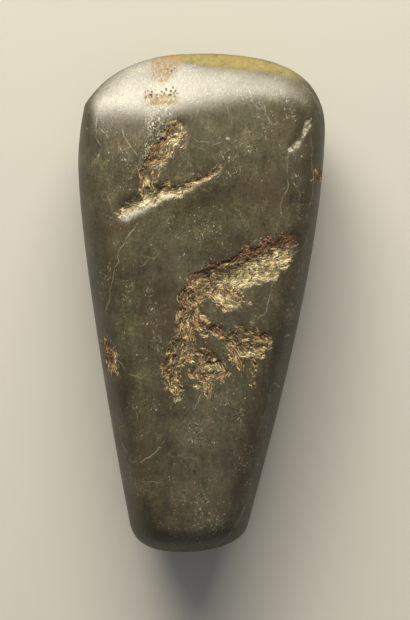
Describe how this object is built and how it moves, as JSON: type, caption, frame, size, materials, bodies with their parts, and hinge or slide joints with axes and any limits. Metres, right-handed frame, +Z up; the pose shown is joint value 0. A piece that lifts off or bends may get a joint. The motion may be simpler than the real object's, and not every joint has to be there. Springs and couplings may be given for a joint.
{
  "type": "polished stone axe head",
  "caption": "Polished greenstone axe head with a curved cutting edge, tapered body, narrow rounded butt and rough natural hollows, lying on a broad face.",
  "frame": {"origin": "under the middle of the stone's bounding box, on the surface it lies on", "axes": "+Y along the stone from the butt to the cutting edge, +X across the blade, +Z up through the broad faces"},
  "size_m": [0.065, 0.132, 0.027],
  "materials": {
    "greenstone": "polished olive-green greenstone with rough golden-brown hollows"
  },
  "bodies": {
    "root": {"axe_head": "greenstone"}
  },
  "joints": []
}
